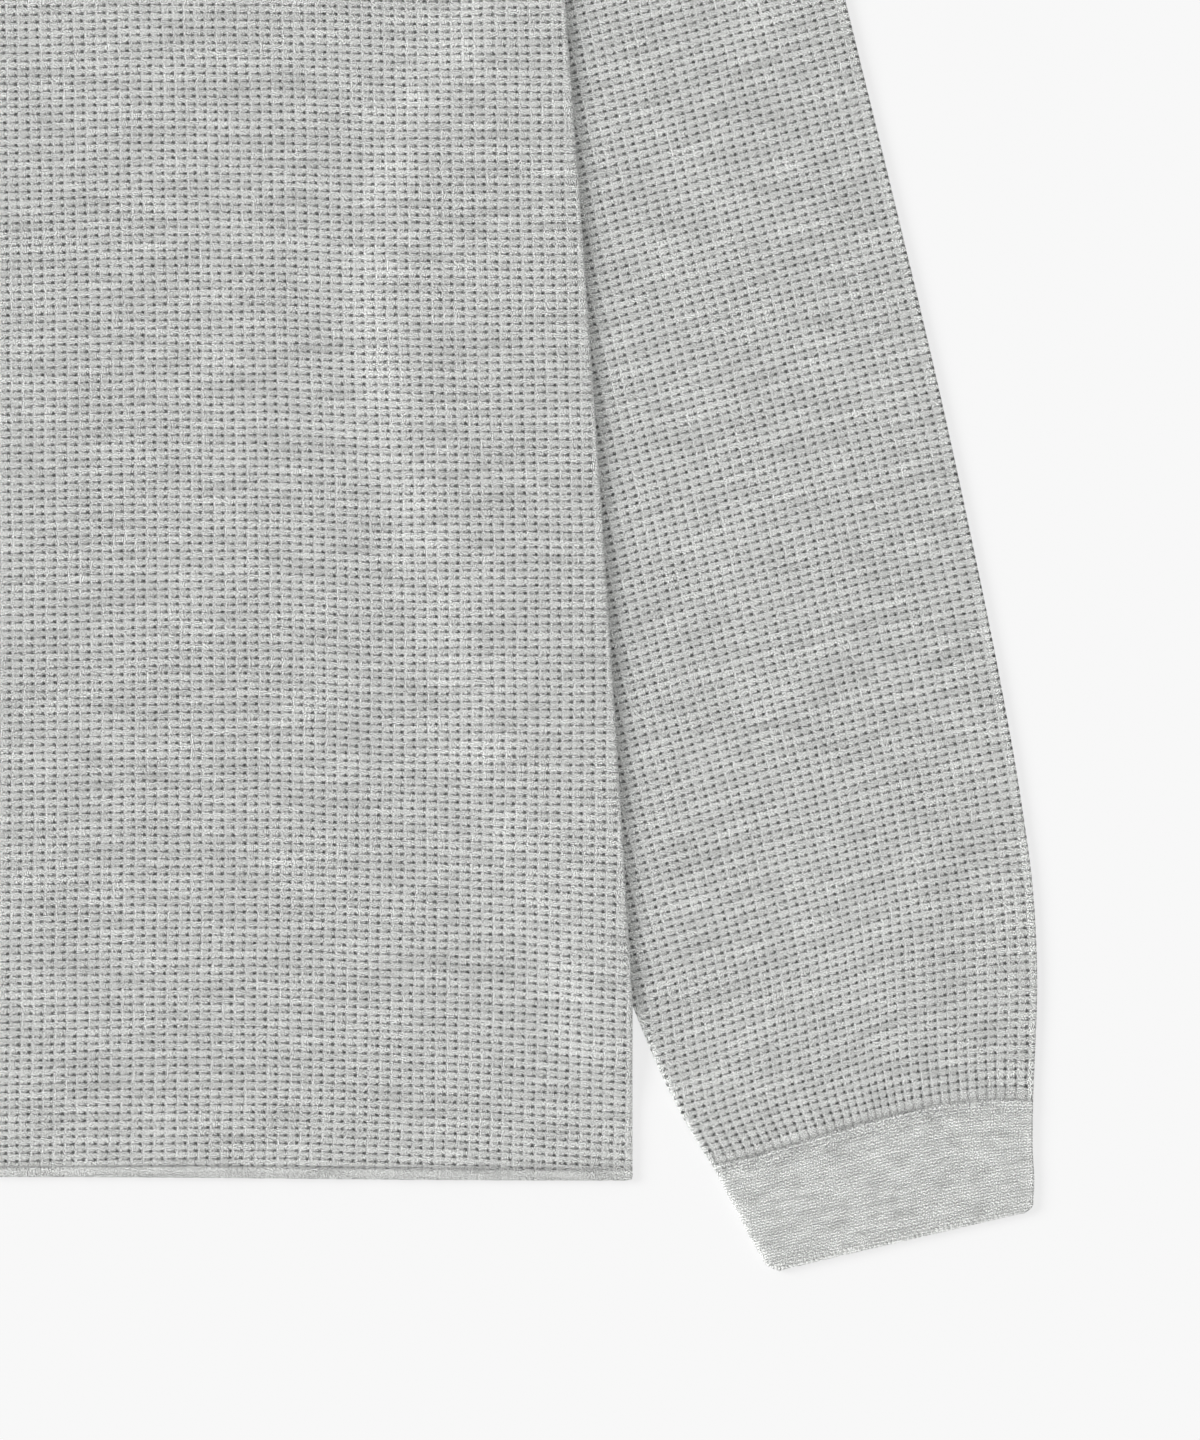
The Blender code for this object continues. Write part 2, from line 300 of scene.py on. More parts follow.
def whole_ring(upper):
    """A value over the upper layer, carried round the ring on both folds and the lower layer."""
    inner = np.repeat(upper[:, :1], FOLD_STEPS - 1, axis=1)
    outer = np.repeat(upper[:, -1:], FOLD_STEPS - 1, axis=1)
    return np.concatenate([inner, upper, outer, upper[:, ::-1]], axis=1)


def banded(profile, upper):
    """A value that changes only down the piece, carried round the ring."""
    return whole_ring(np.broadcast_to(profile[:, None], upper.shape))


def ring_knit(upper_wide, high, side):
    """The knit's map all round the ring. Its first column comes again where the ring closes."""
    along = np.pad(whole_ring(high), ((0, 0), (0, 1)), "edge")
    return np.stack([round_the_ring(upper_wide, side), along], axis=2)


def ring_rims(upper):
    """A painted highlight on pressed edges: one over both folds, fading over the next columns of the upper
    layer, and none below.
    """
    on_upper = np.zeros(upper.shape)
    on_upper[:, [0, -1]] = 1.0
    on_upper[:, [1, -2]] = 0.5
    fold = np.ones((len(upper), FOLD_STEPS - 1))
    return np.concatenate([fold, on_upper, fold, 0.0 * on_upper], axis=1)


# Puckers that the gather into the cuff draws up: share across the sleeve, reach up it, width and height.
PUCKERS = (
    (0.10, 16.0, 2.4, 0.35),
    (0.19, 26.0, 2.8, 0.55),
    (0.27, 19.0, 2.2, 0.45),
    (0.34, 34.0, 3.0, 0.70),
    (0.42, 22.0, 2.4, 0.50),
    (0.50, 40.0, 3.2, 0.75),
    (0.57, 24.0, 2.4, 0.50),
    (0.66, 30.0, 2.8, 0.60),
    (0.75, 18.0, 2.4, 0.40),
    (0.84, 27.0, 2.8, 0.50),
    (0.93, 14.0, 2.2, 0.30),
)
# Soft folds of the sleeve: from and to in x and height, width, height.
SLEEVE_CREASES = (
    (243.0, 450.0, 300.0, 520.0, 7.0, 1.1),
    (240.0, 436.0, 318.0, 462.0, 6.0, 0.9),
    (245.0, 470.0, 282.0, 575.0, 8.0, 0.8),
    (262.0, 380.0, 330.0, 372.0, 9.0, 0.5),
    (280.0, 300.0, 348.0, 322.0, 12.0, 0.35),
    (296.0, 205.0, 362.0, 236.0, 12.0, 0.30),
)


def piled_up(shares, density):
    """How much of the gather lies between each place across the sleeve and its outer fold."""
    steps = (density[1:] + density[:-1]) / 2.0 * np.diff(shares)
    return np.append(np.cumsum(steps[::-1])[::-1], 0.0)


def sleeve_rise(line, shares, up, wide):
    """How far the sleeve's upper layer rises: its creases, and its puckers, which are bells across the
    sleeve that die away up it."""
    rise = creases(line[..., 0], line[..., 1], SLEEVE_CREASES)
    for share, reach, width, height in PUCKERS:
        across = (shares[None, :] - share) * wide[:, None]
        bell = np.exp(-((across / width) ** 2))
        fade = np.exp(-((up[:, None] / reach) ** 2)) * smooth(up[:, None] / 5.0)
        rise = rise + height * bell * fade
    at_ends = smooth(shares / 0.03) * smooth((1.0 - shares) / 0.03)
    return rise * at_ends[None, :]


def make_sleeve(side, word, finish):
    """A waffle sleeve. Its rows lie straight across it at ROW_TILT until the cuff is near, and then follow
    the cuff seam. Its wales run beside the outer fold, and draw together towards the middle of the cuff."""
    near_cuff = 70.0
    sections, length = stations(
        SLEEVE_SECTIONS,
        lambda end: runs((0.0, 4.0, 0.8), (4.0, end - near_cuff, 4.0), (end - near_cuff, end - 6.0, 1.6),
                         (end - 6.0, end - 2.4, 0.9), (end - 2.4, end, 0.4)),
    )
    shares = runs((0.0, 0.012, 0.006), (0.012, 0.988, 0.021), (0.988, 1.0, 0.006))
    line, along = section_line(sections, shares)
    down = down_the_middle(sections)
    up = length * (1.0 - down / down[-1])
    wide = np.linalg.norm(sections[:, 2:4] - sections[:, 0:2], axis=1)

    # Along the wales: square to the rows, and near the cuff the distance from its seam. Rows dip towards
    # the outer fold, steepen near the inner one, and step at the gather.
    across = np.array((np.cos(ROW_TILT), np.sin(ROW_TILT)))
    square = np.array((-across[1], across[0]))
    centre = line[:, len(shares) // 2]
    from_cuff = line - centre[-1]
    straight_rows = from_cuff @ square + ROW_BOW * (from_cuff @ across - 10.0) ** 2
    seam_rows = ((centre - centre[-1]) @ square)[:, None]
    near = smooth((150.0 - up) / 110.0)[:, None]
    high = straight_rows * (1.0 - near) + seam_rows * near
    inside = wide[:, None] - 2.0 * EDGE
    lower_half = (smooth((340.0 - up) / 130.0) * smooth(up / 90.0))[:, None]
    high += 1.8 * lower_half * np.maximum(1.0 - inside * (1.0 - shares) / 60.0, 0.0) ** 2
    high += 1.7 * smooth((95.0 - up) / 60.0)[:, None] * np.maximum(1.0 - shares / 0.38, 0.0) ** 2
    pleat = np.exp(-(((shares - 0.62) / 0.09) ** 2))
    high -= 0.7 * (smooth(up / 20.0) * smooth((80.0 - up) / 35.0))[:, None] * pleat

    # Across the wales: from the outer fold, or in the cap from its line carried on straight. Gathers add
    # to it, one along the whole seam and one near its middle that reaches higher.
    whole = smooth(shares / 0.15) * smooth((1.03 - shares) / 0.15)
    middle_one = np.exp(-(((shares - 0.54) / 0.075) ** 2))
    from_fold = inside * ((1.0 - shares) + sections[:, 6:7] * piled_up(shares, whole)
                          + sections[:, 7:8] * piled_up(shares, middle_one))
    wale = np.array((-np.sin(WALE_TILT), np.cos(WALE_TILT)))
    on_straight_fold = SLEEVE_SECTIONS[9, 2:4]
    offset = line - on_straight_fold
    turn = wale[0] * across[1] - wale[1] * across[0]
    from_line = (offset[..., 0] * wale[1] - offset[..., 1] * wale[0]) / turn
    in_cap = smooth((up - 300.0) / 90.0)[:, None]
    upper_wide = from_fold * (1.0 - in_cap) + 1.02 * (from_line - EDGE) * in_cap
    upper_wide += 4.0 * (1.0 - np.exp(-up / 80.0))[:, None] * (0.45 - shares)

    rise = sleeve_rise(line, shares, up, wide)
    seam_dip = -0.22 * np.exp(-((up / 0.5) ** 2))[:, None]
    ridge = 0.3 * np.exp(-(((up - 2.0) / 1.2) ** 2))[:, None]
    cap_dip = -0.5 * np.exp(-(((length - up) / 1.3) ** 2))[:, None]
    points = tube_rings(line, along, rise + seam_dip + ridge + cap_dip)
    points[..., 0] *= side
    knit = ring_knit(upper_wide, high, side)
    # Marks: plain knit at the seam, painted shade in the seam's groove and between the gathered wales, and a
    # painted highlight on both folds
    marks = {
        "plain": banded(0.8 * smooth((3.4 - up) / 1.4), rise),
        "seam": banded(np.exp(-((up / 0.4) ** 2)), rise),
        "gathered": banded(smooth((20.0 - up) / 16.0), rise),
        "rim": ring_rims(rise),
    }
    sleeve = add_cloth("sleeve_" + word + "_tube", points, knit, finish, marks, closed=True, turned=side < 0)
    return settle(sleeve, "sleeve_" + word)


def make_cuff(side, word, finish):
    """A cuff of folded jersey: courses along its seam, a raised allowance under the seam, and a soft fold
    along its lower edge."""
    sections, _ = stations(
        CUFF_SECTIONS,
        lambda end: runs((0.0, 2.0, 0.4), (2.0, 6.0, 0.8), (6.0, end - 6.0, 1.6), (end - 6.0, end, 0.5)),
    )
    shares = runs((0.0, 0.02, 0.01), (0.02, 0.98, 0.03), (0.98, 1.0, 0.01))
    line, along = section_line(sections, shares)
    below = down_the_middle(sections)
    wide = np.linalg.norm(sections[:, 2:4] - sections[:, 0:2], axis=1)
    upper_wide = (wide[:, None] - 2.0 * EDGE) * (1.0 - shares)[None, :]
    allowance = 0.3 * smooth((5.5 - below) / 2.0)
    dip = -0.22 * np.exp(-((below / 0.5) ** 2)) - 0.2 * np.exp(-(((below[-1] - below) / 0.6) ** 2))
    rise = np.broadcast_to((allowance + dip)[:, None], upper_wide.shape)
    points = tube_rings(line, along, rise)
    points[..., 0] *= side
    knit = ring_knit(upper_wide, np.broadcast_to(-below[:, None], upper_wide.shape), side)
    # The lower edge gets a painted highlight, as do both folds; the seam's groove gets painted shade
    edge = np.exp(-(((below[-1] - below) / 0.9) ** 2))[:, None]
    marks = {
        "plain": banded(smooth((5.0 - below) / 1.5), rise),
        "seam": banded(np.exp(-((below / 0.4) ** 2)), rise),
        "rim": np.maximum(ring_rims(rise), edge),
    }
    cuff = add_cloth("cuff_" + word + "_band", points, knit, finish, marks, closed=True, turned=side < 0)
    return settle(cuff, "cuff_" + word)


# ---------------------------------------------------------------- body


def side_half(height):
    """Half of the body's width below the underarm: straight up, then a taper that swells a little, with
    the hem's corner rounded off."""
    taper = (HEM_HALF - UNDERARM_HALF) / (UNDERARM - TAPER_FROM)
    corner = np.maximum(HEM_CORNER - np.maximum(height, 0.0), 0.0)
    rounded = HEM_CORNER - np.sqrt(HEM_CORNER**2 - corner**2)
    swell = SIDE_SWELL * np.sin(np.pi * np.clip((height - TAPER_FROM) / (UNDERARM - TAPER_FROM), 0.0, 1.0))
    return HEM_HALF + SIDE_EASE + swell - taper * np.maximum(height - TAPER_FROM, 0.0) - rounded


def outline_half(height):
    """Half of the body's width at any height of its side: its side seam, then its armhole."""
    line = section_line(SLEEVE_SECTIONS[:1], np.linspace(0.0, 1.0, 60))[0][0]
    armhole = np.interp(height, line[:, 1], line[:, 0]) - ARMHOLE_GAP
    return np.where(height <= UNDERARM, side_half(height), armhole)


def sleeve_reach(height):
    """How far from the garment's middle the sleeve's inner fold lies, or the body's side where the sleeve
    is clear of it."""
    inner = SLEEVE_SECTIONS[::-1, 0:2]
    return np.minimum(np.interp(height, inner[:, 1], inner[:, 0]), side_half(np.maximum(height, 0.0)))


def shoulder_frame():
    """The shoulder's slope, and the direction square to it."""
    run = np.array((TIP_HALF - NECK_HALF, TIP_HEIGHT - NECK_HEIGHT))
    out = np.array((-run[1], run[0])) / np.linalg.norm(run)
    return run[1] / run[0], out


def lift_onto_sleeve(x, height):
    """The body's rise where it lies over the sleeve: a smooth step up from STEP_TO to STEP_FROM inside the
    sleeve's edge, that dies away at the hem's corner and at the underarm."""
    reach = sleeve_reach(height)
    step = smooth((np.abs(x) - (reach - STEP_TO)) / (STEP_TO - STEP_FROM))
    share = smooth((height - 20.0) / 32.0) * smooth((UNDERARM - height) / 28.0)
    return LIFT * step * share


# Soft waves of both layers of the body, and folds of the front alone: from and to, width, height.
BODY_WAVES = (
    (-190.0, 120.0, -120.0, 420.0, 26.0, 0.5),
    (40.0, 60.0, 70.0, 330.0, 34.0, 0.35),
    (-60.0, 300.0, 120.0, 520.0, 30.0, 0.5),
)
FRONT_CREASES = (
    (-232.0, 436.0, -150.0, 505.0, 9.0, 1.0),
    (-230.0, 428.0, -140.0, 452.0, 8.0, 0.7),
    (231.0, 436.0, 158.0, 498.0, 9.0, 0.9),
    (229.0, 426.0, 150.0, 446.0, 8.0, 0.7),
    (-205.0, 610.0, -110.0, 560.0, 12.0, 0.6),
    (200.0, 612.0, 112.0, 552.0, 12.0, 0.6),
    (-40.0, 575.0, -20.0, 470.0, 14.0, 0.5),
    (-215.0, 60.0, -100.0, 130.0, 16.0, 0.4),
    (-120.0, 240.0, 30.0, 190.0, 18.0, 0.3),
)


def curl(rows):
    """How far the side edges are folded: hardly at the hem's corner, and wholly a little above it."""
    return smooth((rows + 0.1) / 3.0)


def panel_points(neck_drop, insets, level, relief):
    """A body panel's points, row by row from hem to shoulder and column by column from side to side. Rows
    are measured up the side, and each column carries its share of them to the neckline or the shoulder."""
    slope, out = shoulder_frame()
    end_inset, mid_inset = insets
    top_row = TIP_HEIGHT - EDGE
    round_corner = HEM_CORNER * (1.0 - np.cos(np.linspace(0.0, np.pi / 2, 8)))
    rows = runs((HEM_CORNER, 5.2, 0.45), (5.2, 8.0, 0.9), (8.0, 20.0, 2.0), (20.0, 400.0, 4.2),
                (400.0, UNDERARM, 2.5), (UNDERARM, UNDERARM + 1.8, 1.8), (UNDERARM + 1.8, top_row - 6.0, 4.2),
                (top_row - 6.0, top_row, 1.0))
    rows = np.concatenate([round_corner[:-1], rows])
    inset = np.where(rows < UNDERARM - 0.01, mid_inset, np.where(rows < UNDERARM + 0.01, end_inset, 0.0))
    inset *= curl(rows)
    outline = outline_half(rows) - inset

    angle = np.radians(90.0) * np.linspace(0.0, 1.0, 21)
    neck = NECK_HALF * np.sin(angle)
    beyond = runs((0.0, 0.93, 0.031), (0.93, 1.0, 0.009))[1:]
    scale = outline_half(rows) / outline_half(rows[-1:])
    x_neck = scale[:, None] * neck
    x_side = x_neck[:, -1:] + beyond * (outline[:, None] - x_neck[:, -1:])
    half = np.concatenate([x_neck, x_side], axis=1)

    top = NECK_HEIGHT + slope * (half[-1] - NECK_HALF) - EDGE / out[1]
    arch = NECK_HEIGHT - neck_drop * np.cos(angle)
    top[: len(neck) - 1] = arch[:-1]
    top[-1] = top_row
    shoulder = np.full(len(top), mid_inset - EDGE)
    shoulder[[len(neck) - 1, -1]] = end_inset - EDGE
    shoulder[: len(neck) - 1] = 0.0
    near_top = np.maximum(rows - UNDERARM, 0.0) / (rows[-1] - UNDERARM)
    y_half = np.outer(rows, top / rows[-1]) - np.outer(near_top, shoulder / out[1])

    x = np.concatenate([-half[:, :0:-1], half], axis=1)
    y = np.concatenate([y_half[:, :0:-1], y_half], axis=1)
    y -= 1.2 * smooth((np.abs(x) - 50.0) / 190.0) * smooth((30.0 - y) / 30.0)
    z = level + lift_onto_sleeve(x, y) + relief(x, y)
    return np.stack([x, y, z], axis=2), rows, len(neck)


def body_knit(x, y):
    """Where each point is on the knit. Wales lean in a little, and crowd along a line up the left half.
    Rows sag towards the side seams low down, and step down once on the left higher up."""
    wide = x + 0.00005 * np.sign(x) * (y - 180.0) ** 2
    crowd = smooth((x - 92.0 + 0.16 * (y - 400.0)) / 34.0) * smooth((y - 190.0) / 120.0)
    low = 1.0 - smooth((y - 70.0) / 100.0)
    left = 0.00027 * np.maximum(x - 113.0, 0.0) ** 2 * low + 1.7 * smooth((x - 130.0) / 60.0) * (1.0 - low)
    right = 0.00018 * np.maximum(-x - 90.0, 0.0) ** 2 * low
    return wide + 1.3 * crowd, y + left + right + 1.6 * smooth((113.0 - x) / 110.0)


def hem_marks(height):
    """Where the knit is plain below the hem's line, most of all along the edge, and where the line is, whose
    groove gets painted shade.
    """
    plain = smooth((4.4 - height) / 1.2) * (0.8 + 0.2 * np.exp(-((height / 1.3) ** 2)))
    return plain, np.exp(-(((height - HEM_LINE) / 0.5) ** 2))


def make_back(finish):
    """The back panel lies on the table, inside the front's turned edges."""
    def relief(x, y):
        return creases(x, y, BODY_WAVES) * smooth((y - 25.0) / 60.0)
    insets = (EDGE + 0.9, EDGE + SIDE_TUCK + 0.2)
    points, rows, _ = panel_points(BACK_DROP, insets, LOW, relief)
    knit = np.stack(body_knit(points[..., 0], points[..., 1]), axis=2)
    plain, seam = hem_marks(rows[:, None])
    back = add_cloth("back_panel", points, knit, finish, {"plain": plain, "seam": seam})
    return settle(back, "back")


def make_front(finish):
    """The front panel lies on the back. Its side and shoulder edges turn down round the back's level and a
    short way under. A groove marks its narrow turned hem."""
    def relief(x, y):
        waves = creases(x, y, BODY_WAVES) * smooth((y - 25.0) / 60.0)
        side = smooth((outline_half(np.minimum(y, TIP_HEIGHT)) - np.abs(x)) / 12.0)
        folds = creases(x, y, FRONT_CREASES) * side
        groove = -0.45 * np.exp(-(((y - HEM_LINE) / 0.6) ** 2))
        rolled = -0.35 * np.exp(-((np.maximum(y, 0.0) / 0.9) ** 2))
        return waves + folds + groove + rolled
    points, rows, neck = panel_points(FRONT_DROP, (EDGE, EDGE), HIGH, relief)
    below = np.searchsorted(rows, UNDERARM + 0.01)
    columns = points.shape[1]
    out, down = half_turn()
    shoulder_out = shoulder_frame()[1]

    # The side edges' folds and tucks, outside the panel's own columns
    side_tuck = np.where(rows < UNDERARM - 0.01, SIDE_TUCK, END_TUCK)
    steps = FOLD_STEPS + 1
    curled = curl(rows)[:, None]
    height = np.concatenate([down, down[-1:]]) * curled
    tucked = np.concatenate([np.repeat(out[None, :], len(rows), 0), -side_tuck[:, None]], axis=1) * curled
    right = points[:, -1:, :] + np.stack([tucked, 0.0 * tucked, height], 2)
    left = points[:, :1, :] + np.stack([-tucked, 0.0 * tucked, height], 2)
    left[..., 2], right[..., 2] = np.maximum(left[..., 2], LOW), np.maximum(right[..., 2], LOW)
    wide = np.concatenate([left[:, ::-1], points, right], axis=1)

    # The shoulder edges' folds and tucks, above the panel's own rows
    side = np.sign(wide[-1, :, 0])
    way = np.stack([side * shoulder_out[0], np.full(len(side), shoulder_out[1]), np.zeros(len(side))], 1)
    up = np.array((0.0, 0.0, 1.0))
    tuck = np.full(len(side), SIDE_TUCK)
    half_columns = columns // 2
    ends = [steps + half_columns - (neck - 1), steps + half_columns + (neck - 1), steps, steps + columns - 1]
    tuck[ends] = END_TUCK
    folded = [wide[-1] + step * way + drop * up for step, drop in zip(out, down)]
    folded.append(folded[-1] - tuck[:, None] * way)
    lattice = np.concatenate([wide, np.stack(folded)], axis=0)

    kept = np.zeros((lattice.shape[0] - 1, lattice.shape[1] - 1), bool)
    body_rows, body_columns = len(rows) - 1, slice(steps, steps + columns - 1)
    kept[:body_rows, body_columns] = True
    folded_rows = slice(3, below - 1)
    kept[folded_rows, :steps] = True
    kept[folded_rows, steps + columns - 1 :] = True
    kept[body_rows:, steps : ends[0]] = True
    kept[body_rows:, ends[1] : steps + columns - 1] = True

    arc = np.pi * FOLD * np.arange(1, FOLD_STEPS + 1) / FOLD_STEPS
    side_arc = np.concatenate([arc, arc[-1:] + SIDE_TUCK])
    x, y = wide[..., 0].copy(), wide[..., 1].copy()
    x[:, -steps:] = points[:, -1:, 0] + side_arc
    x[:, :steps] = points[:, :1, 0] - side_arc[::-1]
    x = np.concatenate([x, np.repeat(x[-1:], steps, axis=0)])
    y = np.concatenate([y, y[-1:] + side_arc[:, None]])
    knit = np.stack(body_knit(x, y), axis=2)

    tall = np.concatenate([rows, rows[-1] + side_arc])[:, None]
    edge = np.abs(lattice[..., 0]) - (outline_half(np.minimum(tall, UNDERARM)) - 2.2)
    rounded = 0.75 * smooth(edge / 1.8) * (tall < UNDERARM)
    plain, seam = hem_marks(tall)
    # A painted highlight along the front's turned side edges
    rim = smooth((edge - 0.4) / 1.2) * (tall < UNDERARM)
    marks = {"plain": np.maximum(plain, rounded), "seam": seam, "rim": rim}
    front = add_cloth("front_panel", lattice, knit, finish, marks, kept=kept)
    return settle(front, "front")


def make_neckband(finish):
    """A ring of folded jersey that stands BAND_WIDTH above the neckline: its front half on the upper level
    and its back half on the lower one, folded at the sides."""
    lean = np.array((-np.sin(BAND_LEAN), np.cos(BAND_LEAN)))
    outward = np.array((lean[1], -lean[0]))
    side = np.array((NECK_HALF, NECK_HEIGHT)) - EDGE * outward + GAP * lean
    top = side + BAND_WIDTH * lean
    angle = np.radians(90.0) * np.linspace(-1.0, 1.0, 61)
    share = runs((0.0, 0.06, 0.03), (0.06, 0.94, 0.07), (0.94, 1.0, 0.02))[:, None, None]
    out, down = half_turn()
    out, down = out[:-1], down[:-1]

    def half_band(drop):
        """Lines along the band from one side fold to the other, from its seam up to its top edge."""
        neckline = np.stack([NECK_HALF * np.sin(angle), NECK_HEIGHT - drop * np.cos(angle)], axis=1)
        ahead = np.gradient(neckline, axis=0)
        ahead /= np.linalg.norm(ahead, axis=1)[:, None]
        seam = neckline + GAP * np.stack([-ahead[:, 1], ahead[:, 0]], axis=1)
        seam[0], seam[-1] = side * (-1.0, 1.0), side
        rise = top[1] - (NECK_HEIGHT - drop + BAND_WIDTH)
        edge = np.stack([top[0] * np.sin(angle), top[1] - rise * np.cos(angle)], axis=1)
        return seam + share * (edge - seam)

    above = share[:, 0, 0] * BAND_WIDTH
    dip = -0.45 * np.exp(-((above / 0.9) ** 2)) - 0.45 * np.exp(-(((BAND_WIDTH - above) / 1.0) ** 2))
    ridge = 0.35 * np.exp(-(((above - 4.5) / 2.2) ** 2))
    rows = len(above)

    def level(line, height):
        return np.concatenate([line, np.broadcast_to(height, line.shape[:2])[..., None]], axis=2)

    def fold(edge, way, order):
        across = edge[:, None, :] + out[None, :, None] * way
        return level(across, (HIGH + down)[None, :])[:, ::order]

    front, back = half_band(FRONT_DROP), half_band(BACK_DROP)
    mirrored = outward * (-1.0, 1.0)
    ring = np.concatenate([
        level(front, HIGH + (dip + ridge)[:, None]),
        fold(front[:, -1], outward, 1),
        level(back[:, ::-1], np.full((rows, 1), LOW)),
        fold(front[:, 0], mirrored, -1),
    ], axis=1)
    around = np.linalg.norm(np.diff(ring[rows // 2], axis=0, append=ring[rows // 2][:1]), axis=1)
    around = np.concatenate([[0.0], np.cumsum(around)])
    knit = np.stack(np.broadcast_arrays(around[None, :], above[:, None]), axis=2)
    plain = smooth((4.5 - above) / 1.5)[:, None]
    # Painted shade in the groove of the band's seam
    seam = np.exp(-((above / 0.7) ** 2))[:, None]
    band = add_cloth("neckband_band", ring, knit, finish, {"plain": plain, "seam": seam}, closed=True)
    return settle(band, "neckband")


# ---------------------------------------------------------------- finishes


def linear(code):
    """An sRGB hex colour as linear red, green, blue and alpha."""
    value = np.array([int(code[i : i + 2], 16) for i in (1, 3, 5)]) / 255.0
    value = np.where(value <= 0.04045, value / 12.92, ((value + 0.055) / 1.055) ** 2.4)
    return (*value.tolist(), 1.0)


def add(tree, kind, *inputs, **settings):
    """Adds a node with its settings, and links or sets its inputs in order. A dict sets inputs by name."""
    node = tree.nodes.new("ShaderNode" + kind)
    for name, value in settings.items():
        setattr(node, name, value)
    pairs = list(enumerate(inputs))
    if inputs and isinstance(inputs[-1], dict):
        pairs = pairs[:-1] + list(inputs[-1].items())
    for key, value in pairs:
        if isinstance(value, bpy.types.Node):
            value = value.outputs[0]
        if isinstance(value, bpy.types.NodeSocket):
            tree.links.new(value, node.inputs[key])
        elif value is not None:
            node.inputs[key].default_value = value
    return node


def start_cloth(name, roughness):
    """A new material with a cloth shader: dull, with a faint nap."""
    material = bpy.data.materials.new(name)
    material.use_nodes = True
    tree = material.node_tree
    shader = tree.nodes["Principled BSDF"]
    shader.inputs["Roughness"].default_value = roughness
    shader.inputs["IOR"].default_value = 1.5
    shader.inputs["Specular IOR Level"].default_value = 0.2
    shader.inputs["Sheen Weight"].default_value = 0.08
    shader.inputs["Sheen Roughness"].default_value = 0.6
    return material, tree, shader


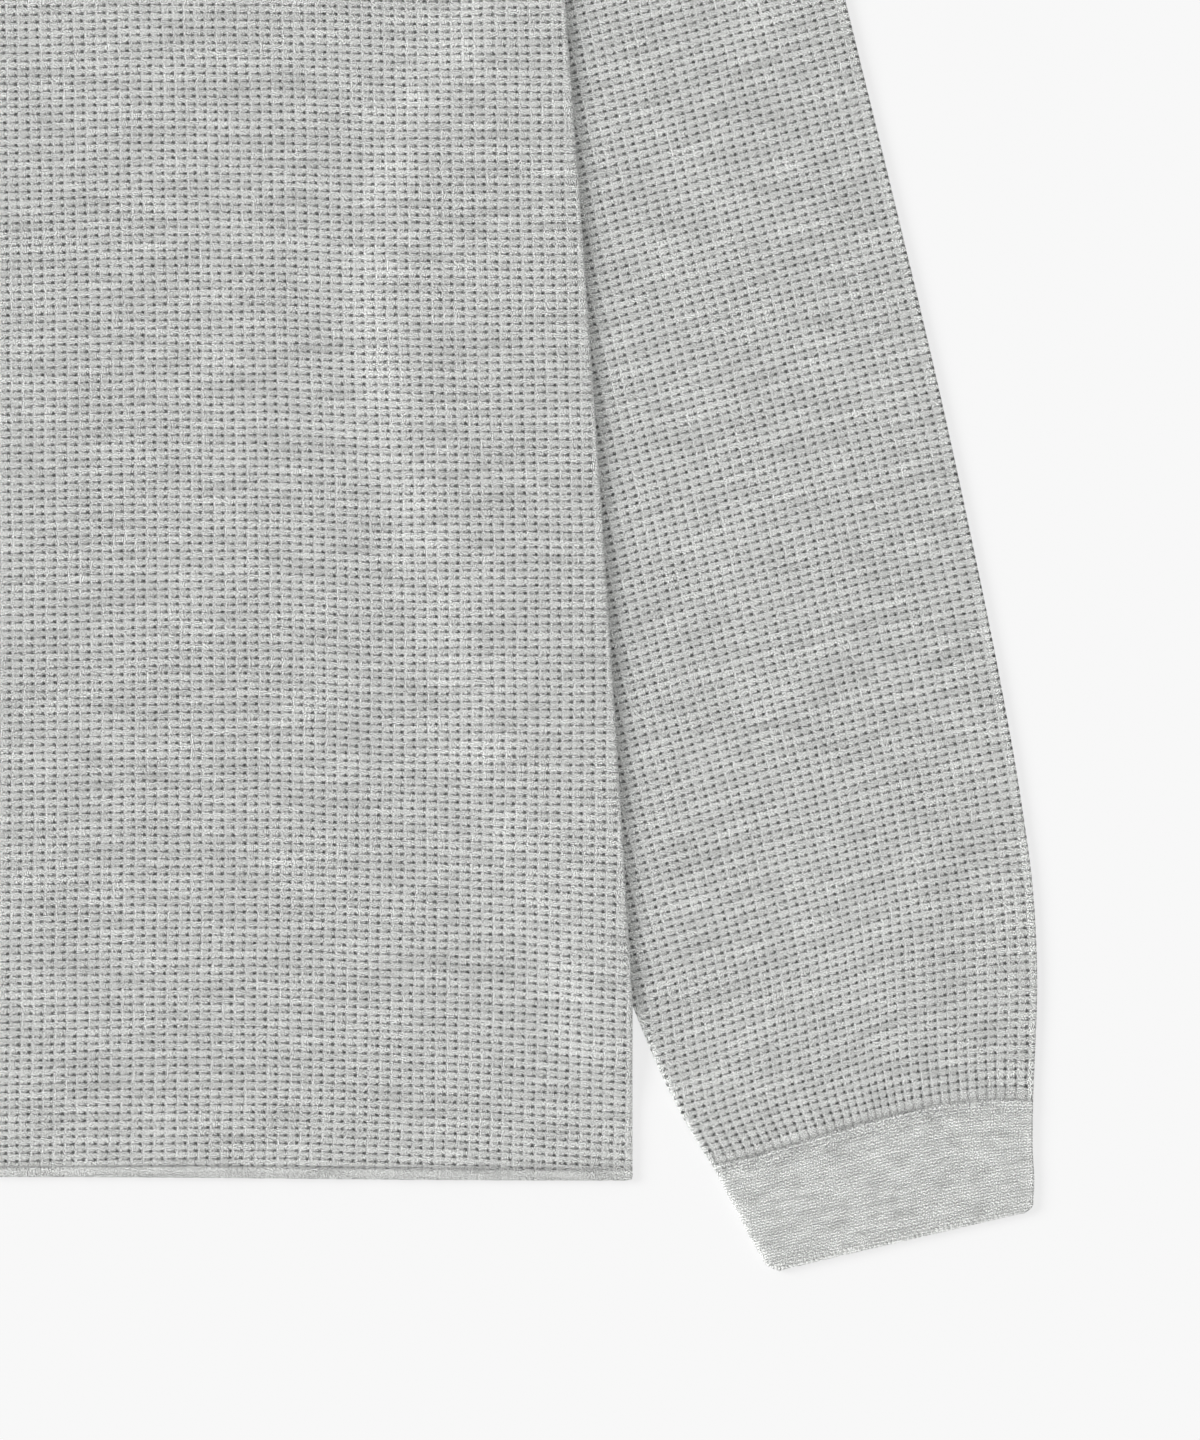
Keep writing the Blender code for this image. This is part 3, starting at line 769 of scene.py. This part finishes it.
def waffle_knit():
    """Cotton waffle knit in heather grey. Each cell is a pale block with a pit at its corner, darkened by
    painted shade, and a thin line of two stitches, darkened by painted shade, leads up to the pit, with a
    painted highlight on the rib just past it."""
    material, tree, shader = start_cloth("cotton waffle knit, heather grey", 0.9)
    place = add(tree, "UVMap", uv_map="knit")
    plain = add(tree, "Attribute", attribute_name="plain").outputs["Fac"]
    seam = add(tree, "Attribute", attribute_name="seam").outputs["Fac"]
    gathered = add(tree, "Attribute", attribute_name="gathered").outputs["Fac"]
    rim = add(tree, "Attribute", attribute_name="rim").outputs["Fac"]
    knitted = add(tree, "Math", 1.0, plain, operation="SUBTRACT")

    # Rows and wales, in cells, drifting a little; and where a point is from its cell's pit
    drift = add(tree, "TexNoise", place, {"Scale": 22.0, "Detail": 2.0}, noise_dimensions="2D")
    drift = add(tree, "VectorMath", drift.outputs["Color"], (0.5, 0.5, 0.5), operation="SUBTRACT")
    drift = add(tree, "VectorMath", drift, (0.25, 0.45, 0.0), operation="MULTIPLY")
    cells = add(tree, "VectorMath", place, (1.0 / CELL_WIDE, 1.0 / CELL_HIGH, 0.0), operation="MULTIPLY")
    cells = add(tree, "VectorMath", cells, drift, operation="ADD")
    corner = add(tree, "VectorMath", cells, operation="FLOOR")
    chance = add(tree, "TexWhiteNoise", corner, noise_dimensions="2D")
    shift = add(tree, "VectorMath", chance.outputs["Color"], (0.5, 0.5, 0.5), operation="SUBTRACT")
    shift = add(tree, "VectorMath", shift, (0.07, 0.09, 0.0), operation="MULTIPLY")
    from_pit = add(tree, "VectorMath", cells, operation="FRACTION")
    from_pit = add(tree, "VectorMath", from_pit, (0.62, 0.5, 0.0), operation="SUBTRACT")
    from_pit = add(tree, "VectorMath", from_pit, shift, operation="ADD")
    apart = add(tree, "SeparateXYZ", from_pit)
    across, up = apart.outputs["X"], apart.outputs["Y"]

    # The pit, a squarish hole with ragged edges
    ragged = add(tree, "TexNoise", place, {"Scale": 1700.0, "Detail": 1.0}, noise_dimensions="2D")
    ragged = add(tree, "MapRange", ragged.outputs["Fac"], 0.3, 0.7, -0.05, 0.05)
    beside = add(tree, "Math", across, operation="ABSOLUTE")
    pit = add(tree, "Math", beside, ragged, operation="ADD")
    pit = add(tree, "MapRange", pit, 0.07, 0.21, 1.0, 0.0, interpolation_type="SMOOTHSTEP")
    sloped = add(tree, "Math", across, 0.22, up, operation="MULTIPLY_ADD")
    above = add(tree, "Math", sloped, operation="ABSOLUTE")
    above = add(tree, "Math", above, ragged, operation="ADD")
    above = add(tree, "MapRange", above, 0.10, 0.29, 1.0, 0.0, interpolation_type="SMOOTHSTEP")
    pit = add(tree, "Math", pit, above, operation="MULTIPLY")
    depth = add(tree, "SeparateColor", chance.outputs["Color"]).outputs["Blue"]
    depth = add(tree, "MapRange", depth, 0.0, 1.0, 0.72, 1.0)
    pit = add(tree, "Math", pit, depth, operation="MULTIPLY")
    pit = add(tree, "Math", pit, knitted, operation="MULTIPLY")

    # The line that leads to the pit's lower corner: two stitches, darkened by painted shade in their groove
    away = add(tree, "Math", up, 0.09, operation="ADD")
    away = add(tree, "Math", across, 0.10, away, operation="MULTIPLY_ADD")
    away = add(tree, "Math", away, operation="ABSOLUTE")
    stitches = add(tree, "ValToRGB", add(tree, "MapRange", across, -0.64, 0.38, 0.0, 1.0))
    shades = ((0.0, 0.0), (0.08, 1.0), (0.20, 1.0), (0.27, 0.65), (0.38, 1.0), (0.55, 0.7), (0.76, 0.3),
              (0.85, 0.0))
    while len(stitches.color_ramp.elements) < len(shades):
        stitches.color_ramp.elements.new(0.5)
    for element, (position, shade) in zip(stitches.color_ramp.elements, shades):
        element.position = position
        element.color = (shade, shade, shade, 1.0)
    line = add(tree, "MapRange", away, 0.03, 0.20, 1.0, 0.0, interpolation_type="SMOOTHSTEP")
    line = add(tree, "Math", line, stitches.outputs["Color"], operation="MULTIPLY")
    dots = add(tree, "TexNoise", place, {"Scale": 1300.0, "Detail": 0.0}, noise_dimensions="2D")
    dots = add(tree, "MapRange", dots.outputs["Fac"], 0.3, 0.55, 0.45, 1.0)
    line = add(tree, "Math", line, dots, operation="MULTIPLY")
    line = add(tree, "Math", line, knitted, operation="MULTIPLY")

    # Up each wale, a thin painted shade just past the pits and a painted highlight on the rib beside it
    hollow = add(tree, "Math", across, -0.17, operation="ADD")
    hollow = add(tree, "Math", hollow, operation="ABSOLUTE")
    hollow = add(tree, "MapRange", hollow, 0.0, 0.09, 0.10, 0.0, interpolation_type="SMOOTHSTEP")
    rib = add(tree, "Math", across, -0.29, operation="ADD")
    rib = add(tree, "Math", rib, operation="ABSOLUTE")
    rib = add(tree, "MapRange", rib, 0.0, 0.09, 1.07, 1.0, interpolation_type="SMOOTHSTEP")
    rib = add(tree, "Math", rib, hollow, operation="SUBTRACT")

    # Painted shade between the blocks where the knit is gathered and its wales close up
    valley = add(tree, "MapRange", beside, 0.03, 0.18, 1.0, 0.0, interpolation_type="SMOOTHSTEP")
    valley = add(tree, "Math", valley, gathered, operation="MULTIPLY")
    valley = add(tree, "Math", valley, dots, operation="MULTIPLY")

    # Heather, with a tone of its own for each stretch of each row, broad shades, and the fibres: real ones
    # are some 0.02 mm, and are drawn 0.3 mm across
    parts = add(tree, "SeparateXYZ", cells)
    row = add(tree, "Math", parts.outputs["Y"], 0.5, operation="ADD")
    row = add(tree, "Math", row, operation="FLOOR")
    row = add(tree, "Math", row, 7.3, operation="MULTIPLY")
    reach = add(tree, "Math", parts.outputs["X"], 0.17, operation="MULTIPLY")
    streak = add(tree, "CombineXYZ", reach, row)
    streak = add(tree, "TexNoise", streak, {"Scale": 1.0, "Detail": 3.0, "Roughness": 0.65},
                 noise_dimensions="2D")
    broad = add(tree, "VectorMath", place, (1.0, 2.2, 0.0), operation="MULTIPLY")
    broad = add(tree, "TexNoise", broad, {"Scale": 38.0, "Detail": 2.0}, noise_dimensions="2D")
    fibre = add(tree, "TexNoise", place, {"Scale": 3200.0, "Detail": 1.0}, noise_dimensions="2D")
    tone = add(tree, "Math", streak.outputs["Fac"], 0.62, 0.69, operation="MULTIPLY_ADD")
    broad = add(tree, "Math", broad.outputs["Fac"], 0.12, 0.94, operation="MULTIPLY_ADD")
    grain = add(tree, "MapRange", fibre.outputs["Fac"], 0.3, 0.7, -0.1, 2.1)
    tone = add(tree, "Math", tone, broad, operation="MULTIPLY")
    tone = add(tree, "Math", tone, grain, operation="MULTIPLY")
    tone = add(tree, "Math", tone, rib, operation="MULTIPLY")

    # Small dark stitches along the hem's edge, where the knit is plainest
    specks = add(tree, "TexNoise", place, {"Scale": 1400.0, "Detail": 0.0}, noise_dimensions="2D")
    specks = add(tree, "MapRange", specks.outputs["Fac"], 0.58, 0.70, 0.0, 0.5,
                 interpolation_type="SMOOTHSTEP")
    sewn = add(tree, "MapRange", plain, 0.8, 1.0, 0.0, 1.0)
    specks = add(tree, "Math", specks, sewn, operation="MULTIPLY")

    # Painted shade in the pits, along the lines, between gathered wales and in the seams' grooves, and a
    # painted highlight on the ribs and along pressed edges. The heather, its broad tones and the fibres are
    # the yarn's own.
    shade = add(tree, "Math", pit, -0.84, 1.0, operation="MULTIPLY_ADD")
    lines = add(tree, "Math", line, -0.66, 1.0, operation="MULTIPLY_ADD")
    closed = add(tree, "Math", valley, -0.35, 1.0, operation="MULTIPLY_ADD")
    # Painted shade in seams' grooves
    seam_shade = add(tree, "Math", seam, -0.42, 1.0, operation="MULTIPLY_ADD")
    spots = add(tree, "Math", 1.0, specks, operation="SUBTRACT")
    # Painted highlight along pressed edges
    rim_highlight = add(tree, "Math", rim, 0.22, 1.0, operation="MULTIPLY_ADD")
    for part in (lines, closed, seam_shade, spots, rim_highlight, tone):
        shade = add(tree, "Math", shade, part, operation="MULTIPLY")
    colour = add(tree, "VectorMath", linear("#D0D1CF")[:3], {"Scale": shade.outputs[0]}, operation="SCALE")
    tree.links.new(colour.outputs[0], shader.inputs["Base Color"])

    # Relief: blocks puffed between rows, pits and lines sunk, fibres on top
    height = add(tree, "Math", line, -0.35, operation="MULTIPLY")
    height = add(tree, "Math", pit, -0.7, height, operation="MULTIPLY_ADD")
    height = add(tree, "Math", fibre.outputs["Fac"], 0.1, height, operation="MULTIPLY_ADD")
    bump = add(tree, "Bump", {"Strength": 0.6, "Distance": 0.35 * MM, "Height": height.outputs[0]})
    tree.links.new(bump.outputs[0], shader.inputs["Normal"])
    return material


def fine_jersey():
    """Cotton jersey in the same grey: 1 mm courses of small V stitches, each arm of a V a light thread
    with a dark gap beside it, and heather in short patches along the courses."""
    material, tree, shader = start_cloth("cotton jersey, heather grey", 0.88)
    place = add(tree, "UVMap", uv_map="knit")
    plain = add(tree, "Attribute", attribute_name="plain").outputs["Fac"]
    seam = add(tree, "Attribute", attribute_name="seam").outputs["Fac"]
    rim = add(tree, "Attribute", attribute_name="rim").outputs["Fac"]
    drift = add(tree, "TexNoise", place, {"Scale": 60.0, "Detail": 1.0}, noise_dimensions="2D")
    drift = add(tree, "VectorMath", drift.outputs["Color"], (0.5, 0.5, 0.5), operation="SUBTRACT")
    drift = add(tree, "VectorMath", drift, (0.8, 0.6, 0.0), operation="MULTIPLY")
    stitches = add(tree, "VectorMath", place, (1.0 / STITCH_WIDE, 1.0 / STITCH_HIGH, 0.0),
                   operation="MULTIPLY")
    stitches = add(tree, "VectorMath", stitches, drift, operation="ADD")
    apart = add(tree, "SeparateXYZ", stitches)
    wide = add(tree, "Math", apart.outputs["X"], 1.0, operation="PINGPONG")
    course = add(tree, "Math", wide, 0.4, apart.outputs["Y"], operation="MULTIPLY_ADD")
    course = add(tree, "Math", course, 2.0 * np.pi, operation="MULTIPLY")
    course = add(tree, "Math", course, operation="SINE")
    wale = add(tree, "Math", apart.outputs["X"], 2.0 * np.pi, operation="MULTIPLY")
    wale = add(tree, "Math", wale, operation="COSINE")

    row = add(tree, "Math", apart.outputs["Y"], operation="FLOOR")
    row = add(tree, "Math", row, 5.3, operation="MULTIPLY")
    reach = add(tree, "Math", apart.outputs["X"], 0.07, operation="MULTIPLY")
    streak = add(tree, "CombineXYZ", reach, row)
    streak = add(tree, "TexNoise", streak, {"Scale": 1.0, "Detail": 4.0, "Roughness": 0.7},
                 noise_dimensions="2D")
    patch = add(tree, "VectorMath", stitches, (0.12, 0.30, 0.0), operation="MULTIPLY")
    patch = add(tree, "TexNoise", patch, {"Scale": 1.0, "Detail": 3.0, "Roughness": 0.7},
                noise_dimensions="2D")
    fibre = add(tree, "TexNoise", place, {"Scale": 3200.0, "Detail": 1.0}, noise_dimensions="2D")
    tone = add(tree, "Math", streak.outputs["Fac"], 0.8, 0.6, operation="MULTIPLY_ADD")
    patch = add(tree, "Math", patch.outputs["Fac"], 0.7, 0.65, operation="MULTIPLY_ADD")
    tone = add(tree, "Math", tone, patch, operation="MULTIPLY")
    grain = add(tree, "MapRange", fibre.outputs["Fac"], 0.3, 0.7, 0.1, 1.9)
    rib = add(tree, "Math", course, 0.24, 1.0, operation="MULTIPLY_ADD")
    column = add(tree, "Math", wale, 0.09, 1.0, operation="MULTIPLY_ADD")
    specks = add(tree, "TexNoise", place, {"Scale": 1400.0, "Detail": 0.0}, noise_dimensions="2D")
    specks = add(tree, "MapRange", specks.outputs["Fac"], 0.58, 0.70, 0.0, 0.40,
                 interpolation_type="SMOOTHSTEP")
    specks = add(tree, "Math", specks, plain, operation="MULTIPLY")
    spots = add(tree, "Math", 1.0, specks, operation="SUBTRACT")
    # Painted shade in the seam's groove
    seam_shade = add(tree, "Math", seam, -0.38, 1.0, operation="MULTIPLY_ADD")
    shade = add(tree, "Math", tone, grain, operation="MULTIPLY")
    # Painted highlight along pressed edges
    rim_highlight = add(tree, "Math", rim, 0.22, 1.0, operation="MULTIPLY_ADD")
    for part in (rib, column, spots, seam_shade, rim_highlight):
        shade = add(tree, "Math", shade, part, operation="MULTIPLY")
    colour = add(tree, "VectorMath", linear("#CFD0CE")[:3], {"Scale": shade.outputs[0]}, operation="SCALE")
    tree.links.new(colour.outputs[0], shader.inputs["Base Color"])
    height = add(tree, "Math", course, 0.5, operation="MULTIPLY")
    height = add(tree, "Math", fibre.outputs["Fac"], 0.4, height, operation="MULTIPLY_ADD")
    bump = add(tree, "Bump", {"Strength": 0.5, "Distance": 0.15 * MM, "Height": height.outputs[0]})
    tree.links.new(bump.outputs[0], shader.inputs["Normal"])
    return material


# ---------------------------------------------------------------- table, light and camera


def make_table():
    """A wide plain table top of opal acrylic, evenly lit from inside so that shadows on it stay faint."""
    half = 6.0
    mesh = bpy.data.meshes.new("table_top")
    corners = [(-half, -half, 0.0), (half, -half, 0.0), (half, half, 0.0), (-half, half, 0.0)]
    mesh.from_pydata(corners, [], [(0, 1, 2, 3)])
    material = bpy.data.materials.new("matt opal acrylic")
    material.use_nodes = True
    shader = material.node_tree.nodes["Principled BSDF"]
    shader.inputs["Base Color"].default_value = linear("#969696")
    shader.inputs["Emission Color"].default_value = (1.0, 1.0, 1.0, 1.0)
    shader.inputs["Emission Strength"].default_value = 0.66
    shader.inputs["Roughness"].default_value = 0.9
    shader.inputs["Specular IOR Level"].default_value = 0.0
    mesh.materials.append(material)
    table = bpy.data.objects.new("table_top", mesh)
    bpy.context.scene.collection.objects.link(table)


def make_light():
    """An even white surround, and one broad lamp on the left, a third of the way up from the table."""
    world = bpy.data.worlds.new("studio")
    bpy.context.scene.world = world
    world.use_nodes = True
    world.node_tree.nodes["Background"].inputs["Color"].default_value = (1.0, 1.0, 1.0, 1.0)
    world.node_tree.nodes["Background"].inputs["Strength"].default_value = 0.56
    lamp = bpy.data.lights.new("broad lamp", "SUN")
    lamp.energy = 2.15
    lamp.angle = np.radians(30.0)
    obj = bpy.data.objects.new("broad lamp", lamp)
    obj.rotation_euler = (np.radians(-14.0), np.radians(-58.0), 0.0)
    bpy.context.scene.collection.objects.link(obj)
    bpy.context.scene.view_settings.view_transform = "Standard"


def make_camera():
    """Straight above the hem's left corner and the cuff, as far off as the lens needs to see VIEW_LENGTH."""
    data = bpy.data.cameras.new("camera")
    data.lens = LENS
    data.sensor_width = SENSOR
    camera = bpy.data.objects.new("camera", data)
    bpy.context.scene.collection.objects.link(camera)
    x, height = VIEW_CENTRE
    camera.location = (x * MM, (height - MIDDLE) * MM, (VIEW_LENGTH * LENS / SENSOR + 5.0) * MM)
    bpy.context.scene.camera = camera


def main():
    waffle = waffle_knit()
    jersey = fine_jersey()
    back = make_back(waffle)
    front = make_front(waffle)
    neckband = make_neckband(jersey)
    for side, word in ((1.0, "left"), (-1.0, "right")):
        sleeve = make_sleeve(side, word, waffle)
        cuff = make_cuff(side, word, jersey)
    make_table()
    make_light()
    make_camera()


main()
